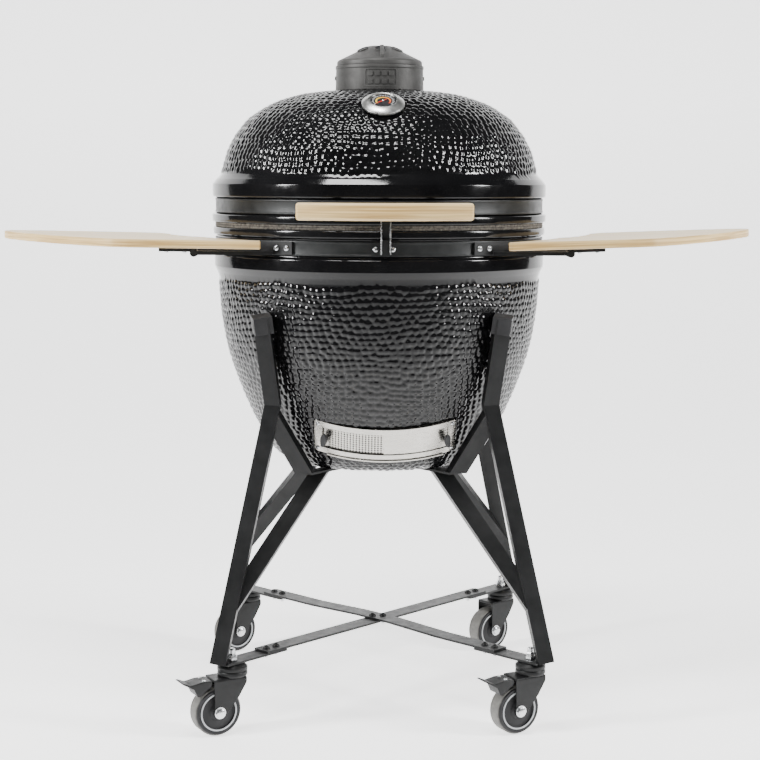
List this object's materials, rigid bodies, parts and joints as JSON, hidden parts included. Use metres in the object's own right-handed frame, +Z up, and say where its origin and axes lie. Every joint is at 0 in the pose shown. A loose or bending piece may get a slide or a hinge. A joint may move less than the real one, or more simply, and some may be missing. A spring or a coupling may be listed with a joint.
{
  "type": "kamado grill",
  "caption": "Egg-shaped ceramic charcoal grill with a hinged dimpled lid, top vent, sliding draft door and fold-down bamboo side shelves, on a wheeled steel stand",
  "frame": {"origin": "on the floor, under the vertical axis of the ceramic body", "axes": "+Z up; -Y is the front, where the handle, the thermometer and the draft door are; +X is to the right of someone facing the front"},
  "size_m": [1.2955, 0.69, 1.1045],
  "materials": {
    "glaze": "glossy black ceramic glaze with a dimpled surface",
    "firebrick": "rough fired clay",
    "band_steel": "satin dark grey coating",
    "felt": "pressed grey-beige felt",
    "bamboo": "laminated bamboo, oiled",
    "stand_steel": "satin black powder coat",
    "cast_iron": "fine-grained dark cast metal",
    "stainless": "brushed stainless steel",
    "zinc": "bright zinc plating",
    "plastic": "matte black plastic",
    "rubber": "grey tread on a black hub",
    "needle_red": "red enamel"
  },
  "bodies": {
    "base": {"bowl": "glaze", "fire_box": "firebrick", "fire_ring": "firebrick", "base_band": "band_steel", "base_gasket": "felt", "charcoal_grate": "cast_iron", "hinge_lower": "band_steel", "hinge_pin": "zinc", "guide_post": "band_steel", "draft_frame": "stainless", "shelf_bracket_left": "stand_steel", "shelf_bracket_right": "stand_steel", "bowl_cross": "stand_steel", "strap_upper": "stand_steel", "strap_lower": "stand_steel", "leg_front_left": "stand_steel", "leg_front_right": "stand_steel", "leg_rear_left": "stand_steel", "leg_rear_right": "stand_steel", "leg_pad_front_left": "plastic", "leg_pad_front_right": "plastic", "leg_pad_rear_left": "plastic", "leg_pad_rear_right": "plastic", "brace_front_left": "stand_steel", "brace_front_right": "stand_steel", "brace_rear_left": "stand_steel", "brace_rear_right": "stand_steel", "caster_stem_front_left": "zinc", "caster_stem_front_right": "zinc", "caster_stem_rear_left": "zinc", "caster_stem_rear_right": "zinc"},
    "lid": {"lid_dome": "glaze", "lid_band": "band_steel", "lid_gasket": "felt", "hinge_upper": "band_steel", "handle_bar": "bamboo", "handle_bracket": "band_steel", "thermometer_case": "stainless", "vent_collar": "cast_iron"},
    "vent": {"vent_cap": "cast_iron"},
    "needle": {"thermometer_needle": "needle_red"},
    "screen_leaf": {"draft_screen": "stainless"},
    "door_leaf": {"draft_door": "stainless"},
    "left_shelf": {"shelf_left": "bamboo"},
    "right_shelf": {"shelf_right": "bamboo"},
    "grate": {"cooking_grate": "stainless"},
    "swivel_front_left": {"caster_fork_front_left": "stand_steel", "caster_axle_front_left": "zinc"},
    "wheel_front_left": {"caster_wheel_front_left": "rubber"},
    "pedal_left": {"brake_pedal_left": "plastic"},
    "swivel_front_right": {"caster_fork_front_right": "stand_steel", "caster_axle_front_right": "zinc"},
    "wheel_front_right": {"caster_wheel_front_right": "rubber"},
    "pedal_right": {"brake_pedal_right": "plastic"},
    "swivel_rear_left": {"caster_fork_rear_left": "stand_steel", "caster_axle_rear_left": "zinc"},
    "wheel_rear_left": {"caster_wheel_rear_left": "rubber"},
    "swivel_rear_right": {"caster_fork_rear_right": "stand_steel", "caster_axle_rear_right": "zinc"},
    "wheel_rear_right": {"caster_wheel_rear_right": "rubber"}
  },
  "joints": [
    {"name": "lid_hinge", "type": "hinge", "parent": "base", "child": "lid", "pos_m": [0, 0.329, 0.795], "axis": [-1, 0, 0], "range_deg": [0, 70]},
    {"name": "vent_turn", "type": "hinge", "parent": "lid", "child": "vent", "pos_m": [0, 0, 1.07], "axis": [0, 0, 1], "range_deg": [-60, 60]},
    {"name": "needle_turn", "type": "hinge", "parent": "lid", "child": "needle", "pos_m": [0, -0.1985, 0.994], "axis": [0, -0.5299, 0.848], "range_deg": [-45, 225]},
    {"name": "screen_slide", "type": "hinge", "parent": "base", "child": "screen_leaf", "pos_m": [0.006, -0.0104, 0.5436], "axis": [0, -0.4067, 0.9135], "range_deg": [0, 24]},
    {"name": "door_slide", "type": "hinge", "parent": "base", "child": "door_leaf", "pos_m": [0.006, -0.0104, 0.5436], "axis": [0, -0.4067, 0.9135], "range_deg": [-24, 0]},
    {"name": "left_shelf_fold", "type": "hinge", "parent": "base", "child": "left_shelf", "pos_m": [-0.296, -0.165, 0.7666], "axis": [0, -1, 0], "range_deg": [0, 90]},
    {"name": "right_shelf_fold", "type": "hinge", "parent": "base", "child": "right_shelf", "pos_m": [0.296, -0.165, 0.7666], "axis": [0, 1, 0], "range_deg": [0, 90]},
    {"name": "grate_lift", "type": "slide", "parent": "base", "child": "grate", "axis": [0, 0, 1], "range_m": [0, 0.04]},
    {"name": "swivel_turn_front_left", "type": "hinge", "parent": "base", "child": "swivel_front_left", "pos_m": [-0.2395, -0.2395, 0.1], "axis": [0, 0, 1], "continuous": true},
    {"name": "wheel_spin_front_left", "type": "hinge", "parent": "swivel_front_left", "child": "wheel_front_left", "pos_m": [-0.26623, -0.25312, 0.0395], "axis": [-0.454, 0.891, 0], "continuous": true},
    {"name": "pedal_tip_left", "type": "hinge", "parent": "swivel_front_left", "child": "pedal_left", "pos_m": [-0.27959, -0.25993, 0.088], "axis": [0.454, -0.891, 0], "range_deg": [0, 10]},
    {"name": "swivel_turn_front_right", "type": "hinge", "parent": "base", "child": "swivel_front_right", "pos_m": [0.2395, -0.2395, 0.1], "axis": [0, 0, 1], "continuous": true},
    {"name": "wheel_spin_front_right", "type": "hinge", "parent": "swivel_front_right", "child": "wheel_front_right", "pos_m": [0.21277, -0.25312, 0.0395], "axis": [-0.454, 0.891, 0], "continuous": true},
    {"name": "pedal_tip_right", "type": "hinge", "parent": "swivel_front_right", "child": "pedal_right", "pos_m": [0.1994, -0.25993, 0.088], "axis": [0.454, -0.891, 0], "range_deg": [0, 10]},
    {"name": "swivel_turn_rear_left", "type": "hinge", "parent": "base", "child": "swivel_rear_left", "pos_m": [-0.2395, 0.2395, 0.1], "axis": [0, 0, 1], "continuous": true},
    {"name": "wheel_spin_rear_left", "type": "hinge", "parent": "swivel_rear_left", "child": "wheel_rear_left", "pos_m": [-0.26314, 0.22103, 0.0395], "axis": [-0.6157, 0.788, 0], "continuous": true},
    {"name": "swivel_turn_rear_right", "type": "hinge", "parent": "base", "child": "swivel_rear_right", "pos_m": [0.2395, 0.2395, 0.1], "axis": [0, 0, 1], "continuous": true},
    {"name": "wheel_spin_rear_right", "type": "hinge", "parent": "swivel_rear_right", "child": "wheel_rear_right", "pos_m": [0.21586, 0.22103, 0.0395], "axis": [-0.6157, 0.788, 0], "continuous": true}
  ]
}
